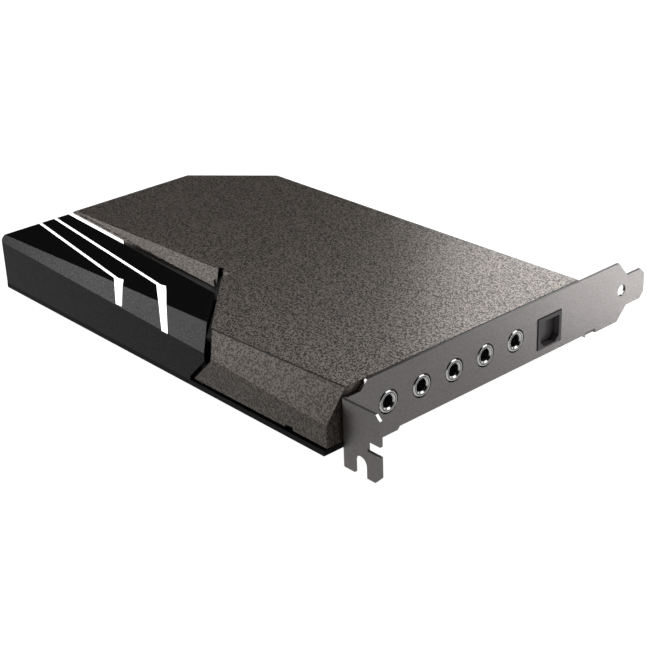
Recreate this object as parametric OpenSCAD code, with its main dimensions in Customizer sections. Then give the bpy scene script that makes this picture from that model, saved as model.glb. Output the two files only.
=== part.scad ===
// Sound card for a computer's expansion slot, lying on its solder side.
// Every piece is drawn from the corner of the bracket: X points out of the
// computer and is 0 on the bracket's outer face, Y runs from the screw tab to
// the tongue, and Z rises from the bracket's solder-side edge.
// on_card() then moves the whole card over the middle of its own footprint.

/* [Bracket] */
// Length of the bracket from the screw tab to the end of the tongue
bracket_len = 120.02; // [119:0.01:121]
// Width of the bracket
bracket_w = 18.42; // [18.2:0.01:19]
// Thickness of the folded sheet
sheet_t = 0.86; // [0.75:0.01:1]
// Radius inside each fold of the sheet
fold_r = 0.5; // [0.3:0.05:0.7]
// Reach of the screw tab in front of the bracket
tab_reach = 13.2; // [12.8:0.1:13.8]
// Height of the screw tab over the solder-side edge
tab_top = 16.4; // [16:0.1:16.8]
// Drop of the two prongs below the solder-side edge
prong_drop = 2.8; // [2.4:0.1:3.2]
// Width of the open notch for the case screw
notch_w = 4.42; // [4.2:0.01:4.6]
// Distance from the bracket's face to the axis of the case screw
notch_x = 6.1; // [5.9:0.1:6.3]
// Diameter of the hole near the tongue
tongue_hole_d = 3.6; // [3.2:0.1:4]

/* [Circuit board] */
// Distance from the bracket's face to the far end of the card
card_len = 154.6; // [152:0.1:160]
// Thickness of the circuit board
board_t = 1.6; // [1.4:0.1:1.8]
// Distance from the screw tab's face to the board's long edge above the slot
board_edge_y = 98.4; // [98:0.1:98.8]
// Height of the gold edge that enters the slot
finger_h = 8.25; // [8:0.05:8.5]
// Distance from the bracket's face to the middle of the key notch
key_x = 57.15; // [56.5:0.05:58]

/* [Cover] */
// Height of the cover's top over the solder-side edge
cover_top = 18.43; // [18.2:0.01:19]
// Thickness of the cover's walls
cover_wall = 1.4; // [1.2:0.1:1.6]
// Overhang of the cover in front of the screw tab's face
near_over = 4.4; // [4.2:0.1:4.6]
// Distance from the screw tab's face to the cover's far wall
far_y = 91.1; // [90.6:0.1:91.6]
// Width of the sloping edge at the bracket
bevel_run = 6.8; // [6.4:0.1:7.2]
// Width of the slit between the cover and the corner cap
slit_w = 2; // [1.6:0.1:2.3]

/* [Corner cap] */
// Height of the cap's top over the solder-side edge
cap_top = 18.1; // [18:0.01:18.2]
// Thickness of the cap's walls
cap_wall = 1.4; // [1.2:0.1:1.6]
// Width of the thin light stripes
stripe_w = 0.85; // [0.7:0.05:1.2]

/* [Jacks] */
// Distance from the screw tab's face to the first jack
jack_y = 15.7; // [15.5:0.1:15.9]
// Distance between two jacks
jack_pitch = 12; // [11.8:0.1:12.2]
// Height of the jack and port axis over the solder-side edge
jack_z = 9.48; // [9.3:0.01:9.6]
// Radius of the hole for the plug
jack_bore_r = 1.8; // [1.75:0.05:1.85]

/* [Optical port] */
// Width of the port's housing
port_w = 9.7; // [9.6:0.1:9.8]
// Width and height of the opening for the plug
port_open = 7.8; // [7.6:0.1:7.9]

/* [Hidden] */
$fn = 48;
// Cuts run this far past the faces that they open
over = 1;
// Thickness of the slices that a sloping edge is drawn between
slice = 0.01;
near_y = -near_over;

// Moves a piece from the bracket's corner to the part's own frame
module on_card()
    translate([(card_len - tab_reach) / 2, (near_over - bracket_len) / 2, prong_drop]) children();

// Flat outlines stretched between two planes
module between_x(x0, x1)
    translate([x0, 0, 0]) rotate([90, 0, 90]) linear_extrude(x1 - x0) children();
module between_y(y0, y1)
    translate([0, y1, 0]) rotate([90, 0, 0]) linear_extrude(y1 - y0) children();
module between_z(z0, z1)
    translate([0, 0, z0]) linear_extrude(z1 - z0) children();
module block(from, to)
    translate(from) cube(to - from);

// Bracket
tab_cut = 1.4;
prong_cut = 2;
side_slot_x = 8.7;
side_slot = [5.1, 7.9];
notch_z = 0.4;
near_cut = [6.3, 8.6];
near_cut_z = 16;
edge_raise = sheet_t;
near_step_y = 18.8;
far_step_y = 93.6;
end_cut = 4.1;
body_end_y = 112;
tongue_z = [4.15, 13.6];
tongue_cut = 1.8;
tongue_hole = [109.6, 9.49];
lug_reach = 9;
near_lug = [4.6, 11.4];
far_lug = [93.8, 98.2];
lug_hole_r = 1.25;
lug_hole_x = 5.4;
jack_hole_r = 3.4;
port_mid_y = 77.75;
port_z = [3, 12.8];
port_gap = 0.2;

// Section through a fold: the sheet bends round the origin
module fold_outline(up, across) {
    intersection() {
        difference() {
            circle(fold_r + sheet_t);
            circle(fold_r);
        }
        translate([-fold_r - sheet_t, -fold_r - sheet_t]) square(fold_r + sheet_t);
    }
    if (up > 0) translate([-fold_r - sheet_t, 0]) square([sheet_t, up]);
    if (across > 0) translate([0, -fold_r - sheet_t]) square([across, sheet_t]);
}

module tab_outline() difference() {
    polygon([
        [-sheet_t, -prong_drop], [tab_reach - prong_cut, -prong_drop],
        [tab_reach, prong_cut - prong_drop], [tab_reach, tab_top - tab_cut],
        [tab_reach - tab_cut, tab_top], [-sheet_t, tab_top]
    ]);
    translate([notch_x, notch_z]) circle(notch_w / 2);
    translate([notch_x - notch_w / 2, -prong_drop - over])
        square([notch_w, notch_z + prong_drop + over]);
    translate([side_slot_x, side_slot[0]])
        square([tab_reach, side_slot[1] - side_slot[0]]);
}

module plate_outline() difference() {
    polygon([
        [0, 0], [near_step_y, 0], [near_step_y + edge_raise, edge_raise],
        [far_step_y - edge_raise, edge_raise], [far_step_y, 0],
        [body_end_y - end_cut, 0], [body_end_y, tongue_z[0]],
        [bracket_len - tongue_cut, tongue_z[0]], [bracket_len, tongue_z[0] + tongue_cut],
        [bracket_len, tongue_z[1] - tongue_cut], [bracket_len - tongue_cut, tongue_z[1]],
        [body_end_y, tongue_z[1]], [body_end_y - end_cut, bracket_w],
        [near_cut[1], bracket_w], [near_cut[0], near_cut_z], [0, near_cut_z]
    ]);
    for (lug = [near_lug, far_lug])
        translate([lug[0], -over]) square([lug[1] - lug[0], fold_r + sheet_t + over]);
    for (i = [0:4]) translate([jack_y + i * jack_pitch, jack_z]) circle(jack_hole_r);
    translate(tongue_hole) circle(tongue_hole_d / 2);
    translate([port_mid_y - port_w / 2 - port_gap, port_z[0]])
        square([port_w + 2 * port_gap, port_z[1] - port_z[0]]);
}

module bracket() color("silver") on_card() {
    intersection() {
        between_z(-prong_drop, bracket_w) translate([fold_r, fold_r + sheet_t])
            fold_outline(bracket_len - fold_r - sheet_t, tab_reach - fold_r);
        union() {
            between_x(-sheet_t, fold_r) plate_outline();
            between_y(0, fold_r + sheet_t) tab_outline();
        }
    }
    for (lug = [near_lug, far_lug]) difference() {
        between_y(lug[0], lug[1]) translate([-fold_r - sheet_t, fold_r + sheet_t])
            mirror([1, 0]) fold_outline(0, lug_reach - fold_r - sheet_t);
        translate([-lug_hole_x, (lug[0] + lug[1]) / 2, -over])
            cylinder(r = lug_hole_r, h = sheet_t + 2 * over);
    }
}

// Circuit board with its gold edge
board_z = sheet_t;
board_top = board_z + board_t;
board_gap = 2.4;
board_end = card_len - 1;
end_cut_x = 23.6;
end_cut_y = 20.6;
key_w = 1.9;
finger_near = 11.65;
finger_far = 7.65;
finger_nip = 1;
screw_r = 1.2;
screw_clear = 0.2;
post_from_end = 8.6;
end_post_x = card_len - post_from_end;
cover_posts = [[22, 5.5], [20, 86], [75, 84], [62, 24], [end_post_x, 66], [end_post_x, 30]];
cap_posts = [[end_post_x, 4.6], [77, 11]];
finger_y = board_edge_y + finger_h;

module board_outline() difference() {
    polygon([
        [-board_gap, near_y], [-board_gap, board_edge_y],
        [finger_near + key_w / 2 - key_x, board_edge_y],
        [finger_near + key_w / 2 - key_x, finger_y - finger_nip],
        [finger_near + key_w / 2 - key_x - finger_nip, finger_y],
        [finger_nip - key_x - key_w / 2 - finger_far, finger_y],
        [-key_x - key_w / 2 - finger_far, finger_y - finger_nip],
        [-key_x - key_w / 2 - finger_far, board_edge_y],
        [end_cut_x - board_end, board_edge_y],
        [-board_end, board_edge_y - end_cut_y], [-board_end, near_y]
    ]);
    translate([-key_x - key_w / 2, board_edge_y]) square([key_w, finger_h + over]);
    for (lug = [near_lug, far_lug])
        translate([-lug_hole_x, (lug[0] + lug[1]) / 2]) circle(lug_hole_r + screw_clear);
    for (post = concat(cover_posts, cap_posts))
        translate([-post[0], post[1]]) circle(screw_r + screw_clear);
}

module circuit_board() color([0.03, 0.03, 0.035]) on_card()
    between_z(board_z, board_top) board_outline();

// Contacts of the gold edge: eleven and seven on each side of the board
contact_pitch = 1;
contact_w = 0.7;
contact_t = 0.05;
contact_len = 5.6;
contact_inset = 1.2;
near_contacts = 11;
far_contacts = 7;

module contact_row(first_x, count)
    for (i = [0:count - 1], z = [board_z - contact_t, board_top])
        block([first_x - i * contact_pitch - contact_w / 2, finger_y - contact_inset - contact_len, z],
              [first_x - i * contact_pitch + contact_w / 2, finger_y - contact_inset, z + contact_t]);

module edge_contacts() color("gold") on_card() {
    contact_row(key_w / 2 - key_x + (finger_near + (near_contacts - 1) * contact_pitch) / 2, near_contacts);
    contact_row(-key_x - key_w / 2 - (finger_far - (far_contacts - 1) * contact_pitch) / 2, far_contacts);
}

// Cover: one moulding with sloping edges, a slit along the cap and screw posts
cover_gap = 1.15;
cover_z = 3.6;
roof_t = 1.6;
bevel_rise = 8.5;
slit_x = 46.8;
bevel_run_slit = 4.75;
bevel_end_x = 62;
// Places along the slit and the channel beside the cap, from the bracket's face
slit_top = [81, 27.8];
strip_left_y = 23.4;
strip_right = [75.7, 20.6];
strip_fold = [83, 26.6];
channel_left_y = 21.6;
channel_right = [69.3, 15.4];
channel_z = 16;
// Where the cap's slanting end meets the near wall, and how far that end and
// its corner move for each millimetre of wall
side_share = 1 / sin(45);
turn_share = tan(45 / 2);
cap_foot_x = slit_x + slit_w * side_share;
seam = 0.3;
end_gap = 0.6;
post_r = 2.4;
pilot_depth = 9;
ear_len = 8.1;
header_y = [42, 56];
header_top = 9.4;
foot_notch = [14, 17];
foot_notch_h = 0.8;

// Width of the sloping edge at a distance from the bracket
function run_at(x) =
    bevel_run - (bevel_run - bevel_run_slit) * (x - cover_gap) / (slit_x - cover_gap);
// Slope of the edge as rise over run
bevel_slope = bevel_rise / bevel_run;

// Rim of the cover and board, moved inwards by a wall
module rim(gap, inset) {
    cut_len = sqrt(pow(end_cut_x, 2) + pow(end_cut_y, 2));
    polygon([
        [-gap - inset, near_y + inset], [-gap - inset, far_y - inset],
        [end_cut_x - card_len + inset * (cut_len - end_cut_x) / end_cut_y, far_y - inset],
        [inset - card_len, far_y - end_cut_y - inset * (cut_len - end_cut_y) / end_cut_x],
        [inset - card_len, near_y + inset]
    ]);
}

// One end of the wedge that is cut from a top edge
module wedge_slice(x, run, rise, top)
    between_x(-x, slice - x) polygon([
        [near_y - run, top - 2 * rise], [near_y + 2 * run, top + rise],
        [near_y - run, top + rise]
    ]);

module cover_wedge(inset) {
    slope_len = sqrt(pow(bevel_run, 2) + pow(bevel_rise, 2));
    translate([0, inset * bevel_rise / slope_len, -inset * bevel_run / slope_len]) hull() {
        wedge_slice(-over, run_at(-over), run_at(-over) * bevel_slope, cover_top);
        wedge_slice(bevel_end_x, run_at(bevel_end_x), run_at(bevel_end_x) * bevel_slope, cover_top);
    }
}

// Outline on the flange's plane of what the sloping edge leaves out
module cover_flange_wedge() projection(cut = true)
    translate([0, 0, cover_wall - channel_z]) cover_wedge(cover_wall);

// Room in the corner for the cap, seen from above: with the slit or without it
module slit_room() polygon([
    [-card_len - over, near_y - over], [-card_len - over, strip_left_y],
    [-strip_right[0], strip_right[1]], [-strip_fold[0], strip_fold[1] + slit_w / 2],
    [-slit_top[0], slit_top[1]], [-slit_x, near_y], [over - slit_x, near_y - over]
]);
module slit_zone(grow) polygon([
    [-strip_right[0] - grow, strip_right[1] - grow],
    [-strip_fold[0] - grow, strip_fold[1] + slit_w / 2],
    [-strip_fold[0] - grow, strip_fold[1] + slit_w / 2 + grow],
    [grow - slit_top[0], slit_top[1] + grow],
    [grow * side_share - slit_x, near_y], [-cap_foot_x, near_y]
]);
module cap_room(gap) polygon([
    [-card_len - over, near_y - over], [-card_len - over, channel_left_y + gap],
    [gap * turn_share - channel_right[0], channel_right[1] + gap],
    [gap * side_share + over - cap_foot_x, near_y - over]
]);

// Plane that falls from the left strip's fold to the channel
module strip_wedge() {
    strip_fall = channel_z - cover_top + seam;
    hull() {
        between_x(-card_len - over, slice - card_len - over) polygon([
            [strip_left_y - over, cover_top - seam], [strip_left_y + over, cover_top],
            [strip_left_y + over, cover_top + over], [strip_left_y - over, cover_top + over]
        ]);
        between_x(-strip_right[0] - over, slice - strip_right[0] - over) polygon([
            [strip_right[1], cover_top + strip_fall], [strip_fold[1], cover_top],
            [strip_fold[1], cover_top + over], [strip_right[1], cover_top + over]
        ]);
    }
}

// The cover's body for one wall inset: 0 draws the outside
module cover_body(inset) difference() {
    between_z(cover_z - (inset > 0 ? over : 0), cover_top - (inset > 0 ? roof_t : 0)) difference() {
        rim(cover_gap, inset);
        translate([inset * turn_share, inset]) slit_room();
    }
    cover_wedge(inset);
}

module cover() color([0.29, 0.27, 0.25]) on_card() {
    difference() {
        union() {
            difference() {
                cover_body(0);
                strip_wedge();
            }
            between_z(channel_z - cover_wall, channel_z) difference() {
                intersection() {
                    rim(cover_gap, cover_wall);
                    union() {
                        slit_zone(cover_wall);
                        translate([0, cover_wall]) slit_room();
                    }
                }
                cap_room(seam);
                cover_flange_wedge();
            }
        }
        difference() {
            cover_body(cover_wall);
            between_z(channel_z - cover_wall, cover_top) slit_zone(cover_wall);
            translate([0, 0, -roof_t]) strip_wedge();
        }
        between_y(header_y[0], header_y[1]) translate([-card_len - over, cover_z - over])
            square([cover_wall + 2 * over, header_top - cover_z + over]);
        block([-cover_gap - cover_wall - over, jack_y - jack_w / 2 - end_gap, cover_z - over],
              [0, port_mid_y + port_w / 2 + end_gap, jack_z + jack_head + seam]);
        block([-foot_notch[1], near_y - over, cover_z - over],
              [-foot_notch[0], near_y + cover_wall + over, cover_z + foot_notch_h]);
    }
    between_y(near_y, near_y + cover_wall) polygon([
        [-slit_x, cover_z], [-slit_x - ear_len, cover_z], [-slit_x, cover_z + ear_len]
    ]);
    for (post = cover_posts) difference() {
        translate([-post[0], post[1], board_top])
            cylinder(r = post_r, h = cover_top - roof_t - board_top);
        translate([-post[0], post[1], board_top - over])
            cylinder(r = screw_r, h = pilot_depth + over);
    }
}

// Corner cap: a glossy shell with slots for the light stripes
cap_run = 6.8;
cap_rise = 5.2;
cap_end_share = 0.28;
cap_corner_r = 1.5;
stripe_fit = 0.08;
// For each stripe: place at the card's end, then the head and foot of its broad bar
stripe_left_y = [11, 16.7];
bar_head = [[100.2, 2.1], [87.2, 7.9]];
bar_foot_x = [90.6, 68.6];
bar_head_w = 3.3;
bar_foot_w = 2.6;
bar_lean = 0.9;
bar_z = [14.6, 13.5];
bar_from_end = 32.6;
edge_bar_end = card_len - bar_from_end;
edge_bar_w = 1.3;
guide_t = 1.2;
guide_from_end = 6.6;
guide_from = card_len - guide_from_end;

module cap_outline(inset) difference() {
    union() {
        polygon([
            [inset - card_len + cap_corner_r, near_y + inset],
            [inset - card_len, near_y + inset + cap_corner_r],
            [inset - card_len, channel_left_y - inset],
            [-channel_right[0] - inset * turn_share, channel_right[1] - inset],
            [-cap_foot_x - inset * (side_share + 1), near_y + inset]
        ]);
        translate([cap_corner_r + inset - card_len, near_y + inset + cap_corner_r])
            circle(cap_corner_r);
    }
    translate([-card_len - over, near_y - over]) square([over + inset, far_y]);
}

module cap_wedge(inset) {
    slope_len = sqrt(pow(cap_run, 2) + pow(cap_rise, 2));
    translate([0, inset * cap_rise / slope_len, -inset * cap_run / slope_len]) hull() {
        wedge_slice(card_len + over, cap_run * cap_end_share, cap_rise * cap_end_share, cap_top);
        wedge_slice(slit_x - slit_w, cap_run, cap_rise, cap_top);
    }
}

module cap_body(inset) difference() {
    between_z(board_top - (inset > 0 ? over : 0), cap_top - inset) cap_outline(inset);
    cap_wedge(inset);
}

// Sideways drift of a bar for each millimetre towards the near wall
function bar_drift(i) = (bar_head[i][0] - bar_foot_x[i]) / (bar_head[i][1] - near_y);

// One stripe and its bar seen from above
module stripe_outline(i, gap) {
    polygon([
        [-card_len - over, stripe_left_y[i] - stripe_w / 2 - gap],
        [-card_len - over, stripe_left_y[i] + stripe_w / 2 + gap],
        [bar_head_w / 2 - bar_head[i][0], bar_head[i][1] + stripe_w / 2 + gap],
        [bar_head_w / 2 - bar_head[i][0], bar_head[i][1] - stripe_w / 2 - gap]
    ]);
    polygon([
        [-bar_head[i][0] - gap * (1 + bar_drift(i)), bar_head[i][1] + gap],
        [bar_head_w - bar_head[i][0] + gap, bar_head[i][1] + bar_lean + gap],
        [bar_foot_w - bar_foot_x[i] + gap + bar_drift(i) * over, near_y - over],
        [-bar_foot_x[i] - gap + bar_drift(i) * over, near_y - over]
    ]);
}

module cap_ear_room() between_y(near_y - over, near_y + cover_wall + seam) polygon([
    [-slit_x - slit_w, cover_z + ear_len], [-slit_x - slit_w - ear_len, cover_z],
    [-slit_x - slit_w - ear_len, board_top - over], [over - slit_x, board_top - over],
    [over - slit_x, cover_z + ear_len]
]);

module corner_cap() color([0.01, 0.01, 0.012]) on_card() {
    difference() {
        cap_body(0);
        cap_body(cap_wall);
        for (i = [0, 1]) between_z(bar_z[i], cap_top + over) stripe_outline(i, stripe_fit);
        cap_ear_room();
    }
    for (post = cap_posts) difference() {
        translate([-post[0], post[1], board_top])
            cylinder(r = post_r, h = cap_top - cap_wall - board_top);
        translate([-post[0], post[1], board_top - over])
            cylinder(r = screw_r, h = pilot_depth + over);
    }
}

// White light guide: two stripes on a plate under the cap's roof
module light_guide() color("white") on_card() {
    for (i = [0, 1]) intersection() {
        cap_body(0);
        between_z(bar_z[i], cap_top) stripe_outline(i, 0);
    }
    difference() {
        between_z(cap_top - cap_wall - guide_t, cap_top - cap_wall) polygon([
            [-guide_from, stripe_left_y[0] - 2 * stripe_w],
            [-guide_from, stripe_left_y[1] + stripe_w],
            [-bar_head[1][0], bar_head[1][1] + stripe_w],
            [-bar_head[0][0], bar_head[0][1]]
        ]);
        for (post = cap_posts) translate([-post[0], post[1], board_top])
            cylinder(r = post_r + seam, h = cap_top);
    }
}

// White bar in the channel between the cap and the cover
bar_drop = (channel_left_y - channel_right[1]) * (edge_bar_end - channel_right[0])
    / (card_len - channel_right[0]);

module edge_light_bar() color("white") on_card() between_z(channel_z, cap_top) polygon([
    [-card_len, channel_left_y + stripe_fit],
    [-card_len, channel_left_y + stripe_fit + edge_bar_w],
    [-edge_bar_end, channel_right[1] + stripe_fit + edge_bar_w + bar_drop],
    [-edge_bar_end, channel_right[1] + stripe_fit + bar_drop]
]);

// Light-emitting diodes on the board under the light guide
led_x_shares = [0.8926, 0.7891, 0.6856, 0.5821];
led_y = [10, 9, 6, 7];
led_size = [5, 5, 1.6];

module leds() color("ivory") on_card()
    for (i = [0:len(led_y) - 1]) chip(led_x_shares[i], led_y[i], led_size, 0);

// Low component: a body on the board with legs along two sides. Its place is a
// share of the card's length from the bracket, and a distance from the tab's face
leg_t = 0.25;
leg_out = 0.9;
leg_w = 0.45;
module chip(x_share, y, size, legs) {
    x = -x_share * card_len;
    block([x - size[0] / 2, y - size[1] / 2, board_top],
          [x + size[0] / 2, y + size[1] / 2, board_top + size[2]]);
    if (legs > 0) for (i = [0:legs - 1]) {
        leg_y = y + (i - (legs - 1) / 2) * size[1] / legs;
        block([x - size[0] / 2 - leg_out, leg_y - leg_w / 2, board_top],
              [x + size[0] / 2 + leg_out, leg_y + leg_w / 2, board_top + leg_t]);
    }
}

// Jacks: a black housing, a bright bushing in the bracket's hole and contact leaves
jack_w = 10;
jack_deep = 15;
jack_head = 4.6;
bushing_r = 3.1;
bushing_out = 0.15;
bushing_in = 4;
bushing_lip = 0.25;
jack_bore = 14;
mouth = 0.4;
leaf_w = 1.6;
leaf_t = 0.3;
leaf_h = 5;
leaf_places = [4.5, 8.5, 12.5];

module at_jack(i) on_card() translate([0, jack_y + i * jack_pitch, 0]) children();
module jack_bore_cut()
    translate([bushing_out - jack_bore, 0, jack_z]) rotate([0, 90, 0])
        cylinder(r = jack_bore_r, h = jack_bore + over);

module jack_housing(i) color([0.05, 0.05, 0.05]) at_jack(i) difference() {
    block([-jack_deep, -jack_w / 2, board_top], [-sheet_t - seam / 2, jack_w / 2, jack_z + jack_head]);
    jack_bore_cut();
    translate([-bushing_in, 0, jack_z]) rotate([0, 90, 0])
        cylinder(r = bushing_r, h = bushing_in + over);
}

module jack_bushing(i) color("gainsboro") at_jack(i) difference() {
    translate([0, 0, jack_z]) rotate([0, 90, 0]) rotate_extrude() polygon([
        [0, -bushing_in], [bushing_r, -bushing_in], [bushing_r, bushing_out - bushing_lip],
        [bushing_r - bushing_lip, bushing_out], [jack_bore_r + mouth, bushing_out],
        [jack_bore_r, bushing_out - mouth], [0, bushing_out - mouth]
    ]);
    jack_bore_cut();
}

module jack_1_housing() jack_housing(0);
module jack_2_housing() jack_housing(1);
module jack_3_housing() jack_housing(2);
module jack_4_housing() jack_housing(3);
module jack_5_housing() jack_housing(4);
module jack_1_bushing() jack_bushing(0);
module jack_2_bushing() jack_bushing(1);
module jack_3_bushing() jack_bushing(2);
module jack_4_bushing() jack_bushing(3);
module jack_5_bushing() jack_bushing(4);

module jack_contacts() color("gold")
    for (i = [0:4], leaf = leaf_places, side = [-1, 1]) at_jack(i)
        block([-leaf - leaf_w / 2, min(side * jack_w / 2, side * (jack_w / 2 + leaf_t)), board_top],
              [leaf_w / 2 - leaf, max(side * jack_w / 2, side * (jack_w / 2 + leaf_t)),
               board_top + leaf_h]);

// Optical port: housing, spring-closed shutter and light source
port_deep = 13.5;
port_out = 0.3;
port_lip = 1.5;
port_corner = 1.6;
port_room_w = 8.5;
port_room_top = 11.9;
port_room_end = 11.6;
port_open_z = 3.7;
shutter_gap = 0.25;
shutter_t = 0.9;
hinge_r = 0.5;
hinge_fit = 0.05;
hinge_end = 0.45;
hinge_x = 2.3;
hinge_z = 11.2;
emitter_size = [1, 5, 5];
emitter_nose = 0.5;
emitter_nose_r = 1.25;

module port_opening(width, bottom, top, corner) polygon([
    [port_mid_y - width / 2, top], [port_mid_y - width / 2, bottom + corner],
    [port_mid_y - width / 2 + corner, bottom], [port_mid_y + width / 2 - corner, bottom],
    [port_mid_y + width / 2, bottom + corner], [port_mid_y + width / 2, top]
]);

module optical_housing() color([0.09, 0.09, 0.1]) on_card() difference() {
    union() {
        block([-port_deep, port_mid_y - port_w / 2, board_top],
              [-sheet_t - seam / 2, port_mid_y + port_w / 2, port_z[1] - port_gap]);
        block([-port_deep, port_mid_y - port_w / 2, port_z[0] + port_gap],
              [port_out, port_mid_y + port_w / 2, port_z[1] - port_gap]);
    }
    between_x(-port_lip - over, port_out + over)
        port_opening(port_open, port_open_z, port_open_z + port_open, port_corner);
    between_x(-port_room_end, -port_lip)
        port_opening(port_room_w, port_open_z - shutter_gap, port_room_top, port_corner);
    translate([-hinge_x, port_mid_y - port_room_w / 2 - hinge_end - hinge_fit, hinge_z])
        rotate([-90, 0, 0])
            cylinder(r = hinge_r + hinge_fit, h = port_room_w + 2 * (hinge_end + hinge_fit));
}

module optical_shutter() color([0.12, 0.12, 0.13]) on_card() {
    between_x(-hinge_x - shutter_t / 2, shutter_t / 2 - hinge_x)
        port_opening(port_room_w - 2 * shutter_gap, port_open_z + shutter_gap, hinge_z, port_corner);
    translate([-hinge_x, port_mid_y - port_room_w / 2 - hinge_end, hinge_z]) rotate([-90, 0, 0])
        cylinder(r = hinge_r, h = port_room_w + 2 * hinge_end);
}

module optical_emitter() color("firebrick") on_card() {
    emitter_z = port_open_z + port_open / 2;
    translate([-port_room_end, port_mid_y - emitter_size[1] / 2, emitter_z - emitter_size[2] / 2])
        cube(emitter_size);
    translate([emitter_size[0] - port_room_end, port_mid_y, emitter_z]) rotate([0, 90, 0])
        cylinder(r = emitter_nose_r, h = emitter_nose);
}

// Parts on the board inside the cover
processor_x_share = 0.5692;
processor_y = 60;
processor_size = [20, 20, 1.6];
dac_x_share = 0.4916;
dac_y = 40;
dac_size = [10, 10, 1.2];
amplifier_x_shares = [0.2587, 0.2587, 0.2587, 0.2587, 0.3493, 0.3493];
amplifier_y = [16, 64, 72, 80, 72, 80];
amplifier_size = [5, 4, 1.6];
memory_x_share = 0.6986;
memory_y = 74;
memory_size = [6, 5, 1.8];
oscillator_x_shares = [0.4528, 0.621];
oscillator_y = [72, 38];
oscillator_size = [7, 5, 1.4];
relay_x_shares = [0.1811, 0.1811, 0.1811];
relay_y = [28, 46, 64];
relay_size = [10, 15, 9];
film_x_shares = [0.2717, 0.2717, 0.2717, 0.2717, 0.2717];
film_y = [24, 31, 38, 45, 52];
film_size = [7.2, 3.5, 7.5];
filter_x_shares = [0.3622, 0.3622, 0.3622, 0.4269, 0.4269, 0.7245, 0.7891, 0.8538];
filter_y = [34, 44, 54, 54, 44, 39, 39, 42];
filter_r = 3.9;
filter_h = 10.5;
filter_foot = 0.9;
filter_groove = 0.4;
regulator_x_shares = [0.6727, 0.7374, 0.8021];
regulator_y = [84, 84, 84];
regulator_size = [6.5, 6, 2.3];
inductor_x_shares = [0.7245, 0.7891, 0.7245];
inductor_y = [50, 50, 60];
inductor_size = [7, 7, 4];
ceramic_size = [2, 1.25, 1];
ceramic_x_share = 0.4657;
ceramic_y = 28;
ceramic_step = 4;
ceramic_step_share = 0.0259;
// Legs on each of a component's two sides
processor_legs = 16;
dac_legs = 12;
relay_legs = 5;
small_legs = 4;
regulator_legs = 3;
ceramic_count = 12;

module audio_processor() color([0.06, 0.06, 0.07]) on_card()
    chip(processor_x_share, processor_y, processor_size, processor_legs);
module dac_chip() color([0.07, 0.07, 0.08]) on_card()
    chip(dac_x_share, dac_y, dac_size, dac_legs);
module amplifier_chips() color([0.07, 0.07, 0.08]) on_card()
    for (i = [0:len(amplifier_y) - 1])
        chip(amplifier_x_shares[i], amplifier_y[i], amplifier_size, small_legs);
module flash_memory() color([0.07, 0.07, 0.08]) on_card()
    chip(memory_x_share, memory_y, memory_size, small_legs);
module oscillators() color("silver") on_card()
    for (i = [0:len(oscillator_y) - 1])
        chip(oscillator_x_shares[i], oscillator_y[i], oscillator_size, 0);
module relays() color([0.1, 0.1, 0.11]) on_card()
    for (i = [0:len(relay_y) - 1])
        chip(relay_x_shares[i], relay_y[i], relay_size, relay_legs);
module film_capacitors() color("firebrick") on_card()
    for (i = [0:len(film_y) - 1])
        chip(film_x_shares[i], film_y[i], film_size, 0);
module voltage_regulators() color([0.07, 0.07, 0.08]) on_card()
    for (i = [0:len(regulator_y) - 1])
        chip(regulator_x_shares[i], regulator_y[i], regulator_size, regulator_legs);
module inductors() color([0.2, 0.2, 0.21]) on_card()
    for (i = [0:len(inductor_y) - 1])
        chip(inductor_x_shares[i], inductor_y[i], inductor_size, 0);
module ceramic_capacitors() color("tan") on_card()
    for (i = [0:ceramic_count - 1], j = [0, 1])
        chip(ceramic_x_share + i * ceramic_step_share, ceramic_y + j * ceramic_step,
             ceramic_size, 0);

module filter_capacitors() color([0.75, 0.68, 0.45]) on_card()
    for (i = [0:len(filter_y) - 1])
        translate([-filter_x_shares[i] * card_len, filter_y[i], board_top])
            rotate_extrude() polygon([
            [0, 0], [filter_r, 0], [filter_r, filter_foot], [filter_r - filter_groove, filter_foot],
            [filter_r - filter_groove, 2 * filter_foot], [filter_r, 3 * filter_foot],
            [filter_r, filter_h - filter_groove], [filter_r - filter_groove, filter_h], [0, filter_h]
        ]);

// Header for the front panel's jacks, behind the window in the cover's end
header_cols = 5;
pin_pitch = 2.54;
pin_w = 0.64;
header_base_size = [2.54, 12.7, 5.1];
header_from_end = 10.6;
header_x = card_len - header_from_end;
pin_out = 6.6;
pin_back = 1.6;

header_mid_y = (header_y[0] + header_y[1]) / 2;

module header_base() color([0.05, 0.05, 0.05]) on_card()
    block([-header_x - header_base_size[0], header_mid_y - header_base_size[1] / 2, board_top],
          [-header_x, header_mid_y + header_base_size[1] / 2, board_top + header_base_size[2]]);

module header_pins() color("gold") on_card()
    for (i = [0:header_cols - 1], row = [0, 1]) if (i + row > 0) {
        pin_y = header_mid_y + (i - (header_cols - 1) / 2) * pin_pitch;
        pin_z = board_top + pin_pitch * (row + 1 / 2);
        block([-header_x - header_base_size[0] - pin_out, pin_y - pin_w / 2, pin_z - pin_w / 2],
              [-header_x - header_base_size[0], pin_y + pin_w / 2, pin_z + pin_w / 2]);
        block([-header_x, pin_y - pin_w / 2, board_top],
              [pin_back * (row + 1) - header_x, pin_y + pin_w / 2, pin_z + pin_w / 2]);
    }

// Pan-head screws: from below into the cover and cap, from above into the bracket's lugs
head_r = 2.2;
head_h = 1.3;
head_round = 0.5;
slot_w = 0.7;
slot_deep = 0.6;
shank_gap = 0.05;
shank_len = 8;

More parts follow.
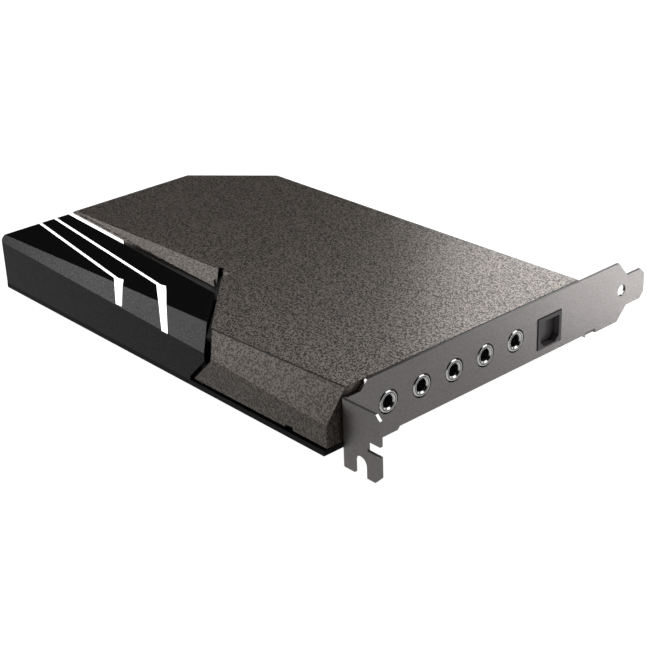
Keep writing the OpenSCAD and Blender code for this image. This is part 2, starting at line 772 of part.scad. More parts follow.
module pan_screw(radius, length) difference() {
    rotate_extrude() polygon([
        [0, -length], [radius, -length], [radius, 0], [head_r, 0], [head_r, head_h - head_round],
        [head_r - head_round, head_h], [0, head_h]
    ]);
    for (turn = [0, 90]) rotate([0, 0, turn])
        translate([-head_r / 2, -slot_w / 2, head_h - slot_deep])
            cube([head_r, slot_w, slot_deep + over]);
}

module cover_screws() color("dimgray") on_card()
    for (post = concat(cover_posts, cap_posts))
        translate([-post[0], post[1], board_z]) mirror([0, 0, 1])
            pan_screw(screw_r - shank_gap, shank_len);

module bracket_screws() color("silver") on_card()
    for (lug = [near_lug, far_lug])
        translate([-lug_hole_x, (lug[0] + lug[1]) / 2, board_top])
            pan_screw(lug_hole_r - shank_gap, board_t + sheet_t);

bracket();
circuit_board();
edge_contacts();
cover();
corner_cap();
light_guide();
edge_light_bar();
leds();
jack_1_housing();
jack_2_housing();
jack_3_housing();
jack_4_housing();
jack_5_housing();
jack_1_bushing();
jack_2_bushing();
jack_3_bushing();
jack_4_bushing();
jack_5_bushing();
jack_contacts();
optical_housing();
optical_shutter();
optical_emitter();
audio_processor();
dac_chip();
amplifier_chips();
flash_memory();
oscillators();
relays();
filter_capacitors();
film_capacitors();
voltage_regulators();
inductors();
ceramic_capacitors();
header_base();
header_pins();
cover_screws();
bracket_screws();
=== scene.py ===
"""A computer's sound card: board, gunmetal cover, black corner cap and slot bracket."""

import math

import bmesh
import bpy
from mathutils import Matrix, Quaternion, Vector


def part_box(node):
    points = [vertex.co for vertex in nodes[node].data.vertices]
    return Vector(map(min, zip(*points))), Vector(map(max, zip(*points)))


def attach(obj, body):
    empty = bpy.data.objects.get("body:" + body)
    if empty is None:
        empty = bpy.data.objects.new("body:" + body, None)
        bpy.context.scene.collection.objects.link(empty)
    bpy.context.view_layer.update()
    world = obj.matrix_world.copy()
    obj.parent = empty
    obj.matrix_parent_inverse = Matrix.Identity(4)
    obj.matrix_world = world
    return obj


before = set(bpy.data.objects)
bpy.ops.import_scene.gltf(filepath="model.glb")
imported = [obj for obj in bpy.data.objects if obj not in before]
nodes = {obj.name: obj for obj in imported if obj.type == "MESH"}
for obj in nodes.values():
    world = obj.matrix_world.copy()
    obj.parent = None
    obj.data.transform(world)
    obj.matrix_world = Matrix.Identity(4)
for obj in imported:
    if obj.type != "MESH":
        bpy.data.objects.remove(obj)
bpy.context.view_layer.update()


# Circuit board. Glass fibre, 1.6 mm thick, under a black solder mask. It carries
# the cover, the jacks and the bracket's two lugs, and one edge enters the slot.
class Tone:
    """A value or colour on its way through the nodes of a finish."""

    def __init__(self, finish, socket):
        self.finish, self.socket = finish, socket

    def maths(self, operation, *terms):
        return self.finish.node("Math", {"operation": operation}, dict(enumerate(terms)))

    def __add__(self, other):
        return self.maths("ADD", self, other)

    def __sub__(self, other):
        return self.maths("SUBTRACT", self, other)

    def __rsub__(self, other):
        return self.maths("SUBTRACT", other, self)

    def __mul__(self, other):
        return self.maths("MULTIPLY", self, other)

    def __truediv__(self, other):
        return self.maths("DIVIDE", self, other)

    def __gt__(self, other):
        return self.maths("GREATER_THAN", self, other)

    def __lt__(self, other):
        return self.maths("LESS_THAN", self, other)

    __radd__ = __add__
    __rmul__ = __mul__


class Recipe:
    """The nodes of one tree, each made from its kind, its settings and what feeds it."""

    def __init__(self, tree):
        self.tree = tree

    def join(self, value, socket):
        if isinstance(value, Tone):
            self.tree.links.new(value.socket, socket)
        else:
            socket.default_value = value

    def node(self, kind, settings=None, inputs=None, output=0):
        made = self.tree.nodes.new("ShaderNode" + kind)
        for setting, value in (settings or {}).items():
            setattr(made, setting, value)
        for socket, value in (inputs or {}).items():
            self.join(value, made.inputs[socket])
        return Tone(self, made.outputs[output])

    def blend(self, mask, first, second):
        colours = {0: mask, 6: (*first, 1) if isinstance(first, tuple) else first,
                   7: (*second, 1) if isinstance(second, tuple) else second}
        return self.node("Mix", {"data_type": "RGBA"}, colours, output=2)

    def step(self, value, low, high):
        """0 below low, 1 above high, and a smooth rise between them."""
        limits = {"Value": value, "From Min": low, "From Max": high}
        return self.node("MapRange", {"interpolation_type": "SMOOTHSTEP"}, limits)


class Finish(Recipe):
    """A material: one shader, its fixed values and the nodes that feed it."""

    def __init__(self, name, fixed):
        self.material = bpy.data.materials.new(name)
        self.material.use_nodes = True
        super().__init__(self.material.node_tree)
        self.shader = self.tree.nodes["Principled BSDF"]
        for socket, value in fixed.items():
            self.shader.inputs[socket].default_value = value
        self.place = self.node("TexCoord", output="Object")

    def axis(self, letter):
        return self.node("SeparateXYZ", inputs={"Vector": self.place}, output=letter)

    def grain(self, size, detail=2.0, stretch=(1, 1, 1)):
        """Noise from 0 to 1 whose spots are about this size, in metres."""
        along = self.node("VectorMath", {"operation": "MULTIPLY"}, {0: self.place, 1: stretch})
        return self.node("TexNoise", inputs={"Vector": along, "Scale": 1 / size, "Detail": detail})

    def feed(self, socket, value):
        self.join(value, self.shader.inputs[socket])

    def relief(self, height, depth):
        self.feed("Normal", self.node("Bump", inputs={"Height": height, "Distance": depth}))

    def coat(self, *pieces):
        for piece in pieces:
            if not piece.material_slots:
                piece.data.materials.append(self.material)
            for material_slot in piece.material_slots:
                material_slot.material = self.material


def soften(name, radius, segments=2):
    """Rounds the hard edges of a CAD node as its mould or tool leaves them."""
    weld = nodes[name].modifiers.new("weld", "WELD")
    weld.merge_threshold = 2e-6
    edge = nodes[name].modifiers.new("edge", "BEVEL")
    edge.width = radius
    edge.segments = segments
    edge.angle_limit = math.radians(40)
    edge.harden_normals = True
    edge.use_clamp_overlap = True


mask_black = (0.003, 0.003, 0.0035)
mask_over_copper = (0.009, 0.009, 0.01)
solder_mask = Finish("solder_mask", {"Specular IOR Level": 0.12})
weave = solder_mask.grain(0.0004, 1.0)
flow = solder_mask.grain(0.006, 3.0)
solder_mask.feed("Base Color", solder_mask.blend(flow, mask_black, mask_over_copper))
solder_mask.feed("Roughness", 0.34 + weave * 0.14 + flow * 0.08)
solder_mask.relief(weave + flow * 0.5, 0.000015)
solder_mask.coat(nodes["circuit_board"])

# Copper tracks under the mask on the solder side, etched in runs side by side,
# and the plated holes where they change sides.
board_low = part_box("circuit_board")[0]
bracket_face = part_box("bracket")[1].x - 0.0132
tab_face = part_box("bracket")[0].y


def on_board(from_face, from_tab, height=0.0):
    """A point by its millimetres from the bracket's face and from the screw tab."""
    return Vector((bracket_face - from_face / 1000, tab_face + from_tab / 1000, board_low.z - height))


def new_piece(name, shape, smooth=False):
    mesh = bpy.data.meshes.new(name)
    bmesh.ops.recalc_face_normals(shape, faces=shape.faces)
    shape.to_mesh(mesh)
    shape.free()
    if smooth:
        mesh.shade_smooth()
    piece = bpy.data.objects.new(name, mesh)
    bpy.context.scene.collection.objects.link(piece)
    return piece


track_thick = 0.00003
track_runs = [
    # points from the bracket's face and the tab, tracks side by side, their pitch, their width
    ([(18, 20), (34, 20), (44, 30), (44, 52), (56, 64), (76, 64)], 5, 1.1, 0.45),
    ([(18, 33), (30, 33), (38, 41), (38, 58), (52, 72), (78, 72)], 4, 1.0, 0.35),
    ([(98, 62), (110, 62), (122, 50), (122, 44), (140, 44)], 6, 0.9, 0.3),
    ([(98, 55), (106, 55), (118, 43), (118, 30), (132, 16), (148, 16)], 4, 1.0, 0.35),
    ([(52, 100), (52, 92), (66, 78), (76, 78)], 5, 1.0, 0.4),
    ([(63, 104), (63, 90), (72, 81), (82, 81)], 4, 1.0, 0.4),
    ([(80, 48), (80, 36), (92, 24), (112, 24)], 5, 1.0, 0.35),
    ([(18, 68), (32, 68), (42, 78), (60, 78)], 3, 1.2, 0.5),
    ([(104, 84), (104, 76), (92, 64)], 3, 1.6, 0.9),
    ([(56, 34), (66, 34), (72, 28), (72, 14), (84, 2), (108, 2)], 3, 1.3, 0.6),
]


def beside(points, gap):
    """The same run moved sideways by a gap, with mitred corners."""
    moved = []
    for i, here in enumerate(points):
        before, after = points[max(i - 1, 0)], points[min(i + 1, len(points) - 1)]
        first = (here - before).normalized() if i > 0 else (after - here).normalized()
        second = (after - here).normalized() if i < len(points) - 1 else first
        side = Vector((-first.y - second.y, first.x + second.x)).normalized()
        moved.append(here + side * gap / max(side.dot(Vector((-first.y, first.x))), 0.2))
    return moved


tracks = bmesh.new()
via_rings = bmesh.new()
for run, count, pitch, width in track_runs:
    centre = [Vector(point) for point in run]
    for number in range(count):
        offset = (number - (count - 1) / 2) * pitch
        left, right = beside(centre, offset - width / 2), beside(centre, offset + width / 2)
        low = [[tracks.verts.new(on_board(p.x, p.y, track_thick)) for p in side] for side in (left, right)]
        top = [[tracks.verts.new(on_board(p.x, p.y, 0)) for p in side] for side in (left, right)]
        for i in range(len(centre) - 1):
            tracks.faces.new((low[0][i], low[0][i + 1], low[1][i + 1], low[1][i]))
            tracks.faces.new((low[0][i], top[0][i], top[0][i + 1], low[0][i + 1]))
            tracks.faces.new((low[1][i + 1], top[1][i + 1], top[1][i], low[1][i]))
        for end in (0, -1):
            middle = (left[end] + right[end]) / 2
            rings = []
            for radius, drop in ((0.42, 0), (0.42, 0.00005), (0.2, 0.00005), (0.16, 0)):
                rings.append([via_rings.verts.new(on_board(
                    middle.x + radius * math.cos(k * math.pi / 6),
                    middle.y + radius * math.sin(k * math.pi / 6), drop)) for k in range(12)])
            for inner, outer in zip(rings, rings[1:]):
                for k in range(12):
                    via_rings.faces.new((inner[k], inner[k - 1], outer[k - 1], outer[k]))
board_tracks = new_piece("board_tracks", tracks)
masked_copper = Finish("masked_copper", {"Coat Weight": 0.35, "Coat Roughness": 0.2})
mottle = masked_copper.grain(0.0009, 2.0)
masked_copper.feed("Base Color", masked_copper.blend(mottle, (0.02, 0.02, 0.022), (0.042, 0.04, 0.038)))
masked_copper.feed("Roughness", 0.3 + mottle * 0.15)
masked_copper.relief(mottle, 0.00001)
masked_copper.coat(board_tracks)
board_vias = new_piece("board_vias", via_rings)
plated = Finish("plated_holes", {"Metallic": 1.0})
tarnish = plated.grain(0.0005, 2.0)
plated.feed("Base Color", plated.blend(tarnish, (0.34, 0.24, 0.11), (0.5, 0.38, 0.2)))
plated.feed("Roughness", 0.3 + tarnish * 0.2)
plated.coat(board_vias)
for piece in (board_tracks, board_vias):
    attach(piece, "card")

# Solder joints. Each leg that passes through the board ends in a small cone of
# bright solder on the solder side, wetted out on its round pad.
joint_height = 0.0006
joint_profile = [(0.95, 0.0), (0.95, 0.03), (0.78, 0.06), (0.52, 0.3), (0.34, 0.7), (0.3, 0.95), (0.16, 1.0)]
joint_places = []
for jack in range(5):
    jack_from_tab = 15.7 + 12 * jack
    joint_places += [(leaf, jack_from_tab + side) for leaf in (8.5, 12.5) for side in (-4.2, 4.2)]
for relay in (28, 46, 64):
    joint_places += [(x, relay + y) for x in (24, 32) for y in (-6, -3, 0, 3, 6)]
joint_places += [(x, y) for y in (24, 31, 38, 45, 52) for x in (39.5, 44.5)]
for x, y in ((56, 34), (56, 44), (56, 54), (66, 54), (66, 44), (112, 39), (122, 39), (132, 42)):
    joint_places += [(x, y - 1.75), (x, y + 1.75)]
joint_places += [(143.4 - 2.54 * row, 43.9 + 2.54 * pin) for pin in range(5) for row in (0, 1)][1:]
joint_places += [(12.6, 77.75 + step) for step in (-2.5, 0, 2.5)]
joints = bmesh.new()
for x, y in joint_places:
    rings = []
    for radius, rise in joint_profile:
        rings.append([joints.verts.new(on_board(
            x + radius * math.cos(k * math.pi / 7), y + radius * math.sin(k * math.pi / 7),
            rise * joint_height)) for k in range(14)])
    for inner, outer in zip(rings, rings[1:]):
        for k in range(14):
            joints.faces.new((inner[k], inner[k - 1], outer[k - 1], outer[k]))
    joints.faces.new(rings[-1])
solder_joints = new_piece("solder_joints", joints, smooth=True)
solder = Finish("solder", {"Metallic": 1.0})
frost = solder.grain(0.00025, 3.0)
solder.feed("Base Color", solder.blend(frost, (0.5, 0.5, 0.5), (0.74, 0.74, 0.73)))
solder.feed("Roughness", 0.2 + frost * 0.25)
solder.relief(frost, 0.00002)
solder.coat(solder_joints)
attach(solder_joints, "card")

# Gold contacts on both faces of the slot's edge, plated hard gold over nickel and
# rubbed by the slot's springs, which leaves a fine line along each.
gold = Finish("hard_gold", {"Metallic": 1.0})
rub = gold.grain(0.00012, 2.0, stretch=(1, 0.04, 1))
haze = gold.grain(0.002, 2.0)
gold.feed("Base Color", gold.blend(haze, (0.76, 0.52, 0.2), (0.88, 0.64, 0.3)))
gold.feed("Roughness", 0.2 + rub * 0.18)
gold.relief(rub, 0.000006)
gold.coat(nodes["edge_contacts"], nodes["header_pins"])
soften("header_pins", 0.00008, 1)

# Chips and voltage regulators: black mould compound around a lead frame, pressed
# in a matt tool. A small round dimple marks the first leg.
mould_black = Finish("mould_compound", {})
pores = mould_black.grain(0.00018, 3.0)
cloud = mould_black.grain(0.004, 2.0)
legs = mould_black.axis("Z") < board_low.z + 0.0016 + 0.00026
mould_black.feed("Base Color", mould_black.blend(
    legs, mould_black.blend(cloud, (0.022, 0.022, 0.023), (0.04, 0.04, 0.041)), (0.6, 0.6, 0.58)))
mould_black.feed("Metallic", legs)
mould_black.feed("Roughness", 0.62 + pores * 0.12 - legs * 0.35)
mould_black.relief(pores, 0.00003)
mould_black.coat(*(nodes[name] for name in (
    "audio_processor", "dac_chip", "amplifier_chips", "flash_memory", "voltage_regulators")))

# Clock cans: drawn from thin bright steel, and seam-welded round the foot.
can_steel = Finish("can_steel", {"Metallic": 1.0})
drawn = can_steel.grain(0.00015, 2.0, stretch=(0.1, 1, 1))
can_steel.feed("Base Color", can_steel.blend(drawn, (0.5, 0.5, 0.49), (0.68, 0.68, 0.67)))
can_steel.feed("Roughness", 0.24 + drawn * 0.16)
can_steel.relief(drawn, 0.000008)
can_steel.coat(nodes["oscillators"])
soften("oscillators", 0.0003)

# Relays and power inductors: a sealed black case, and a grey pressed ferrite block.
case_black = Finish("relay_case", {})
skin = case_black.grain(0.00035, 3.0)
case_black.feed("Base Color", case_black.blend(skin, (0.03, 0.03, 0.032), (0.05, 0.05, 0.052)))
case_black.feed("Roughness", 0.42 + skin * 0.15)
case_black.relief(skin, 0.00002)
case_black.coat(nodes["relays"], nodes["header_base"])
ferrite = Finish("ferrite", {})
press = ferrite.grain(0.0002, 4.0)
ferrite.feed("Base Color", ferrite.blend(press, (0.09, 0.09, 0.095), (0.19, 0.19, 0.195)))
ferrite.feed("Roughness", 0.7 + press * 0.15)
ferrite.relief(press, 0.00005)
ferrite.coat(nodes["inductors"])
soften("inductors", 0.0005)
soften("header_base", 0.00015)

# Capacitors: gold sleeved cans for the output filter, red boxed film ones for the
# signal, and small tan ceramic ones with tinned ends.
sleeve = Finish("gold_sleeve", {"Coat Weight": 0.4, "Coat Roughness": 0.15})
shrink = sleeve.grain(0.0011, 2.0)
can_top = sleeve.axis("Z") > board_low.z + 0.0016 + 0.01
sleeve.feed("Base Color", sleeve.blend(
    can_top, sleeve.blend(shrink, (0.42, 0.3, 0.09), (0.52, 0.4, 0.15)), (0.75, 0.75, 0.74)))
sleeve.feed("Metallic", 0.45 + can_top * 0.55)
sleeve.feed("Roughness", 0.26 + shrink * 0.12)
sleeve.relief(shrink, 0.00002)
sleeve.coat(nodes["filter_capacitors"])
film_box = Finish("film_box", {"Coat Weight": 0.3, "Coat Roughness": 0.2})
resin = film_box.grain(0.0008, 3.0)
film_box.feed("Base Color", film_box.blend(resin, (0.36, 0.018, 0.014), (0.5, 0.035, 0.024)))
film_box.feed("Roughness", 0.34 + resin * 0.16)
film_box.relief(resin, 0.00002)
film_box.coat(nodes["film_capacitors"])
soften("film_capacitors", 0.0003)
ceramic = Finish("ceramic_block", {})
fired = ceramic.grain(0.0002, 3.0)
ceramic.feed("Base Color", ceramic.blend(fired, (0.4, 0.27, 0.15), (0.55, 0.4, 0.25)))
ceramic.feed("Roughness", 0.5 + fired * 0.2)
ceramic.relief(fired, 0.00001)
ceramic.coat(nodes["ceramic_capacitors"])

# Audio jacks. A black nylon housing holds the plug's springs, and a bright turned
# bushing comes through the bracket; a thin black ring on its face is painted shade for its groove.
nylon = Finish("jack_nylon", {})
moulded = nylon.grain(0.0003, 3.0)
nylon.feed("Base Color", nylon.blend(moulded, (0.012, 0.012, 0.013), (0.028, 0.028, 0.03)))
nylon.feed("Roughness", 0.45 + moulded * 0.15)
nylon.relief(moulded, 0.00002)
nylon.coat(*(nodes["jack_%d_housing" % n] for n in range(1, 6)))
spring_bronze = Finish("spring_bronze", {"Metallic": 1.0})
rolled = spring_bronze.grain(0.0002, 2.0, stretch=(1, 1, 0.1))
spring_bronze.feed("Base Color", spring_bronze.blend(rolled, (0.55, 0.43, 0.22), (0.72, 0.6, 0.36)))
spring_bronze.feed("Roughness", 0.26 + rolled * 0.18)
spring_bronze.coat(nodes["jack_contacts"])

bushing = Finish("turned_bushing", {"Metallic": 1.0})
lathe = bushing.grain(0.00009, 2.0)
bushing.feed("Base Color", bushing.blend(lathe, (0.8, 0.8, 0.79), (0.95, 0.95, 0.94)))
bushing.feed("Roughness", 0.12 + lathe * 0.14)
bushing.relief(lathe, 0.000006)
bushing.coat(*(nodes["jack_%d_bushing" % n] for n in range(1, 6)))

# Thin black rings laid flush on the bushings' faces, in the jack nylon finish: painted shade for the grooves
# there.
ring_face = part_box("jack_1_bushing")[1].x
ring_profile = [(2.62, -0.00002), (2.58, 0.00003), (2.38, 0.00003), (2.34, -0.00002)]
groove_shade_rings = bmesh.new()
for n in range(1, 6):
    low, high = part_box("jack_%d_bushing" % n)
    middle = (low + high) / 2
    rings = []
    for radius, out in ring_profile:
        rings.append([groove_shade_rings.verts.new((
            ring_face + out, middle.y + radius / 1000 * math.cos(k * math.pi / 24),
            middle.z + radius / 1000 * math.sin(k * math.pi / 24))) for k in range(48)])
    for inner, outer in zip(rings, rings[1:]):
        for k in range(48):
            groove_shade_rings.faces.new((inner[k], inner[k - 1], outer[k - 1], outer[k]))
jack_groove_shade_rings = new_piece("jack_groove_shade_rings", groove_shade_rings, smooth=True)
nylon.coat(jack_groove_shade_rings)
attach(jack_groove_shade_rings, "card")

# Optical port. A dark grey housing snapped in the bracket's cut-out, with a shutter
# on two stub pins that a plug pushes in and up, and a red light source behind.
port_grey = Finish("port_plastic", {})
spark = port_grey.grain(0.0002, 3.0)
cast = port_grey.grain(0.0016, 2.0)
port_grey.feed("Base Color", port_grey.blend(spark, (0.06, 0.056, 0.057), (0.25, 0.235, 0.238)))
port_grey.feed("Roughness", 0.5 + cast * 0.16)
port_grey.relief(spark, 0.000015)
port_grey.coat(nodes["optical_housing"])
soften("optical_housing", 0.00015)
shutter_black = Finish("shutter_plastic", {})
wipe = shutter_black.grain(0.0003, 2.0, stretch=(1, 1, 0.2))
shutter_black.feed("Base Color", shutter_black.blend(wipe, (0.08, 0.075, 0.077), (0.2, 0.188, 0.19)))
shutter_black.feed("Roughness", 0.34 + wipe * 0.2)
shutter_black.relief(wipe, 0.00002)
shutter_black.coat(nodes["optical_shutter"])
soften("optical_shutter", 0.00012)
red_resin = Finish("red_resin", {"Coat Weight": 0.6, "Coat Roughness": 0.08})
bubbles = red_resin.grain(0.0006, 2.0)
red_resin.feed("Base Color", red_resin.blend(bubbles, (0.3, 0.008, 0.006), (0.45, 0.02, 0.014)))
red_resin.feed("Roughness", 0.2 + bubbles * 0.1)
red_resin.coat(nodes["optical_emitter"])

# Cover. One gunmetal moulding with a coarse metallic paint that catches the light
# in specks. It is screwed to the board from below through its posts.
gunmetal = Finish("speckled_gunmetal", {})
speck = gunmetal.grain(0.00046, 0.0)
coarse = gunmetal.grain(0.001, 1.0)
drift = gunmetal.grain(0.03, 2.0)
flake = gunmetal.step(speck * 0.65 + coarse * 0.35, 0.46, 0.54)
# The walls of the slit beside the cap and the floor of the channel behind it are painted near black and made matt:
# painted shade for those recesses.
slit_foot, slit_head = on_board(46.8, -4.4), on_board(81, 27.8)
slit_run = (slit_head - slit_foot).normalized()
from_slit = ((gunmetal.axis("X") - slit_foot.x) * slit_run.y
             - (gunmetal.axis("Y") - slit_foot.y) * slit_run.x)
in_slit = ((from_slit > -0.00155) * (from_slit < 0.0002) * (gunmetal.axis("Y") > slit_foot.y + 0.0002)
           * (gunmetal.axis("X") < slit_foot.x + 0.0004) * (gunmetal.axis("X") > slit_head.x - 0.003))
channel_floor = board_low.z - 0.00086 + 0.016
on_floor = (gunmetal.axis("Z") > channel_floor - 0.0002) * (gunmetal.axis("Z") < channel_floor + 0.00003)
facing = gunmetal.node("TexCoord", output="Normal")
nearward = gunmetal.node("SeparateXYZ", inputs={"Vector": facing}, output="Y") < -0.3
upward = gunmetal.node("SeparateXYZ", inputs={"Vector": facing}, output="Z")
cover_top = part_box("cover")[1].z
below_top = gunmetal.axis("Z") < cover_top - 0.00015
slit_and_channel_shade = in_slit * below_top + on_floor * (upward > 0.9) > 0.5
# Just below the near top edge, the rounded bend between top and slope is painted darker: a painted shade line
# along that edge.
crease_shade = ((gunmetal.axis("Z") > cover_top - 0.00034) * (upward < 0.95) * nearward
          * (gunmetal.axis("X") > slit_head.x + 0.004))
# On the slanted faces the specks are painted flatter, their dark specks lifted: a painted tone for how the light
# falls on those faces.
slope_painted_light = upward < 0.95
flecks_and_painted_shading = (flake * (1 - slope_painted_light * 0.5) + slope_painted_light * 0.27) * (1 - crease_shade * 0.9)
painted = gunmetal.blend(flecks_and_painted_shading, (0.012, 0.01, 0.008), (0.263, 0.229, 0.204))
gunmetal.feed("Base Color", gunmetal.blend(slit_and_channel_shade, painted, (0.004, 0.004, 0.004)))
gunmetal.feed("Metallic", 0.62 - slit_and_channel_shade * 0.62)
gunmetal.feed("Roughness", 0.27 + speck * 0.1 + drift * 0.05 + slit_and_channel_shade * 0.4)
gunmetal.relief(flake, 0.000005)
gunmetal.coat(nodes["cover"])
soften("cover", 0.00028)

# Corner cap. Glossy black moulding, polished in the tool, with two slots for the
# light stripes. Handling leaves faint smears and hairlines on it.
gloss = Finish("piano_black", {"Specular IOR Level": 0.15, "Coat Roughness": 0.16})
smear = gloss.grain(0.012, 3.0)
hairline = gloss.grain(0.00016, 3.0, stretch=(0.12, 1, 1))
pinhead = gloss.grain(0.0003, 1.0)
gloss.feed("Base Color", gloss.blend(pinhead, (0.004, 0.004, 0.004), (0.012, 0.011, 0.011)))
gloss.feed("Coat Weight", gloss.step(pinhead, 0.42, 0.58) * 0.2)
polished = gloss.node("SeparateXYZ", inputs={"Vector": gloss.node("TexCoord", output="Normal")}, output="Z") > 0.93
gloss.feed("Roughness", 0.2 - polished * 0.14 + smear * 0.1 + hairline * 0.05)
gloss.relief(hairline + pinhead * 0.6, 0.000008)
gloss.coat(nodes["corner_cap"])
soften("corner_cap", 0.0003)

# Light guide, edge bar and the lights on the board. The guides are milky plastic
# given an even glow of their own along the stripes: a painted glow that makes them read pure white.
milk = Finish("painted_glow_milky_plastic", {"Emission Strength": 1.6, "Roughness": 0.35})
haze_spot = milk.grain(0.0012, 2.0)
milk.feed("Base Color", milk.blend(haze_spot, (0.88, 0.88, 0.88), (0.95, 0.95, 0.95)))
milk.feed("Emission Color", milk.blend(haze_spot, (0.86, 0.88, 0.9), (1.0, 1.0, 1.0)))
milk.relief(haze_spot, 0.00001)
milk.coat(nodes["light_guide"], nodes["edge_light_bar"])
phosphor = Finish("led_package", {"Emission Strength": 0.6})
gel = phosphor.grain(0.0007, 2.0)
phosphor.feed("Base Color", phosphor.blend(gel, (0.72, 0.66, 0.4), (0.9, 0.88, 0.78)))
phosphor.feed("Emission Color", phosphor.blend(gel, (0.9, 0.88, 0.75), (1.0, 1.0, 0.95)))
phosphor.feed("Roughness", 0.35 + gel * 0.1)
phosphor.coat(nodes["leds"])
soften("leds", 0.0002)

# Slot bracket. One piece of nickel-plated steel, 0.86 mm thick, stamped and folded.
# The satin plating shows the sheet's rolling and some handling. Up-facing outer edges
# are painted near black, a painted shade line, and two corner cuts near white, a painted glint.
satin = Finish("satin_nickel", {"Metallic": 1.0})
roll = satin.grain(0.00022, 3.0, stretch=(1, 0.18, 1))
spangle = satin.grain(0.0006, 2.0)
handled = satin.grain(0.02, 3.0)
facing = satin.node("TexCoord", output="Normal")
facing_y = satin.node("SeparateXYZ", inputs={"Vector": facing}, output="Y")
facing_z = satin.node("SeparateXYZ", inputs={"Vector": facing}, output="Z")
sheet_face = 0.0697
# The cut at the tab's top corner and the cut at the plate's near top corner are painted near white: a painted
# glint.
tab_corner = (satin.axis("X") > 0.0805) * (facing_z < 0.9)
plate_corner = (facing_y < -0.4) * (satin.axis("Y") > -0.0568)
# Up-facing edges on the outer side are painted near black: a painted shade line.
edge_shade_mask = (facing_z > 0.4) * (satin.axis("X") > sheet_face)
corner_glint_mask = edge_shade_mask * (tab_corner + plate_corner) > 0.5
plated_steel = satin.blend(spangle * 0.6 + roll * 0.4, (0.16, 0.147, 0.144), (0.38, 0.36, 0.355))
with_edge_shade = satin.blend(edge_shade_mask, plated_steel, (0.03, 0.028, 0.027))
satin.feed("Base Color", satin.blend(corner_glint_mask, with_edge_shade, (0.95, 0.94, 0.93)))
satin.feed("Roughness", 0.26 + roll * 0.08 + handled * 0.06)
satin.relief(roll + spangle * 0.8, 0.000022)
satin.coat(nodes["bracket"])
soften("bracket", 0.00014)

# Screws. Pan heads with a cross recess: black ones hold the cover and the cap from
# below, and bright ones hold the bracket's lugs from above.
black_zinc = Finish("black_zinc", {"Metallic": 0.8})
dip = black_zinc.grain(0.0004, 3.0)
black_zinc.feed("Base Color", black_zinc.blend(dip, (0.022, 0.022, 0.024), (0.06, 0.06, 0.062)))
black_zinc.feed("Roughness", 0.34 + dip * 0.18)
black_zinc.relief(dip, 0.00001)
black_zinc.coat(nodes["cover_screws"])
bright_zinc = Finish("bright_zinc", {"Metallic": 1.0})
dull = bright_zinc.grain(0.0004, 3.0)
bright_zinc.feed("Base Color", bright_zinc.blend(dull, (0.5, 0.5, 0.5), (0.7, 0.7, 0.69)))
bright_zinc.feed("Roughness", 0.26 + dull * 0.16)
bright_zinc.relief(dull, 0.00001)
bright_zinc.coat(nodes["bracket_screws"])
soften("cover_screws", 0.00012)
soften("bracket_screws", 0.00012)

# Studio. A white cove with no corners, too far away and too even to show in the
# part, under a pale sky. The soft boxes are set where each face mirrors them.
scene = bpy.context.scene
scene.view_settings.view_transform = "Standard"
cove_profile = [(0.0, 0.0), (2.4, 0.0), (3.0, 0.12), (3.4, 0.45), (3.6, 1.0), (3.6, 4.0)]
cove_shape = bmesh.new()
rings = [[cove_shape.verts.new((radius * math.cos(k * math.pi / 24), radius * math.sin(k * math.pi / 24), height))
          for k in range(48)] for radius, height in cove_profile[1:]]
cove_shape.faces.new(rings[0])
for inner, outer in zip(rings, rings[1:]):
    for k in range(48):
        cove_shape.faces.new((inner[k], inner[k - 1], outer[k - 1], outer[k]))
cove = new_piece("studio_cove", cove_shape, smooth=True)
white_cove = Finish("white_cove", {"Roughness": 0.9, "Specular IOR Level": 0.0, "Emission Strength": 1.0})
white_cove.feed("Base Color", (0.3, 0.3, 0.3, 1))
white_cove.feed("Emission Color", (1, 1, 1, 1))
white_cove.coat(cove)
cove.visible_diffuse = cove.visible_glossy = cove.visible_shadow = False

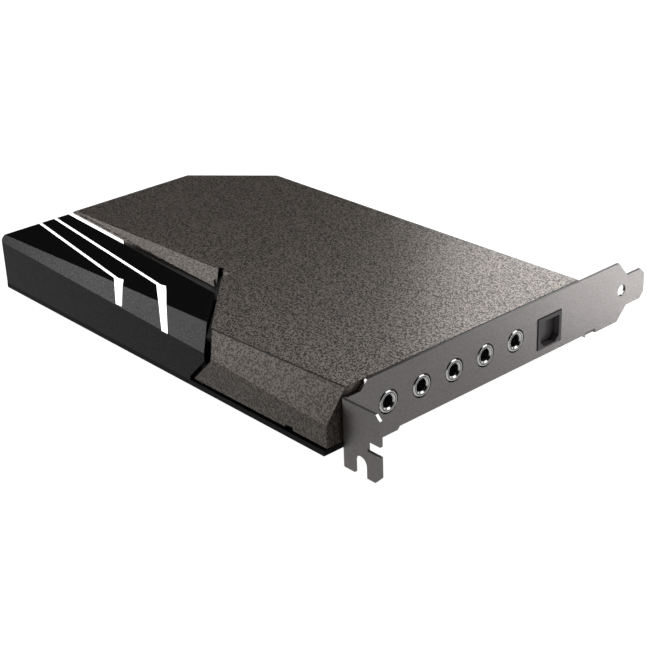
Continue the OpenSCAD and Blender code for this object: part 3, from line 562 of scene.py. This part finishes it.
world = bpy.data.worlds.new("studio")
world.use_nodes = True
sky = Recipe(world.node_tree)
rise = sky.node("SeparateXYZ", inputs={"Vector": sky.node("TexCoord")}, output="Z")
backdrop = world.node_tree.nodes["Background"]
sky.join((1, 1, 1, 1), backdrop.inputs["Color"])
sky_low, sky_high = 0.44, 0.0
sky.join(sky_low + sky.step(rise, -0.1, 0.15) * (sky_high - sky_low), backdrop.inputs["Strength"])
scene.world = world


def soft_box(name, place, aim, size, watts):
    light = bpy.data.lights.new(name, "AREA")
    light.shape = "RECTANGLE"
    light.size, light.size_y = size
    light.energy = watts
    box = bpy.data.objects.new(name, light)
    box.location = place
    box.rotation_euler = (Vector(aim) - Vector(place)).to_track_quat("-Z", "Y").to_euler()
    box.visible_camera = False
    scene.collection.objects.link(box)


soft_box("cap_box", (-0.63, -0.25, 0.62), (0.03, -0.05, 0.02), (0.34, 0.34), 1.35)
soft_box("edge_box", (-0.68, -0.56, 0.46), (0, -0.05, 0.02), (0.5, 0.36), 1.0)
soft_box("strip_box", (-0.72, 0.02, 0.6), (0, -0.02, 0.02), (0.3, 0.3), 0.54)
soft_box("back_box", (-0.3, 0.2, 0.5), (0, 0, 0.02), (0.3, 0.3), 0.76)
soft_box("top_box", (-0.179, 0.354, 0.227), (0.05, 0.02, 0.02), (0.12, 0.12), 0.195)
soft_box("end_box", (-0.04, 0.14, 0.11), (0.065, 0.01, 0.02), (0.08, 0.08), 0.03)
soft_box("bracket_box", (0.235, 0.28, -0.075), (0.07, 0.055, 0.015), (0.1, 0.1), 0.1)
soft_box("ring_box", (0.376, 0.33, 0.385), (0.08, -0.01, 0.01), (0.4, 0.4), 0.75)

# Camera. It stands off the bracket's near corner and looks down along the card.
view_az, view_el, view_roll = math.radians(51.05), math.radians(25.37), math.radians(-3.21)
lens = bpy.data.cameras.new("camera")
lens.lens, lens.sensor_width = 80.78, 36
lens.shift_x, lens.shift_y = 0.0794, 0.0029
lens.clip_start, lens.clip_end = 0.01, 20
camera = bpy.data.objects.new("camera", lens)
camera.location = (0.3047, -0.26713, 0.18825)
gaze = Vector((-math.sin(view_az) * math.cos(view_el), math.cos(view_az) * math.cos(view_el),
               -math.sin(view_el)))
camera.rotation_euler = (gaze.to_track_quat("-Z", "Y") @ Quaternion((0, 0, 1), view_roll)).to_euler()
scene.collection.objects.link(camera)
scene.camera = camera
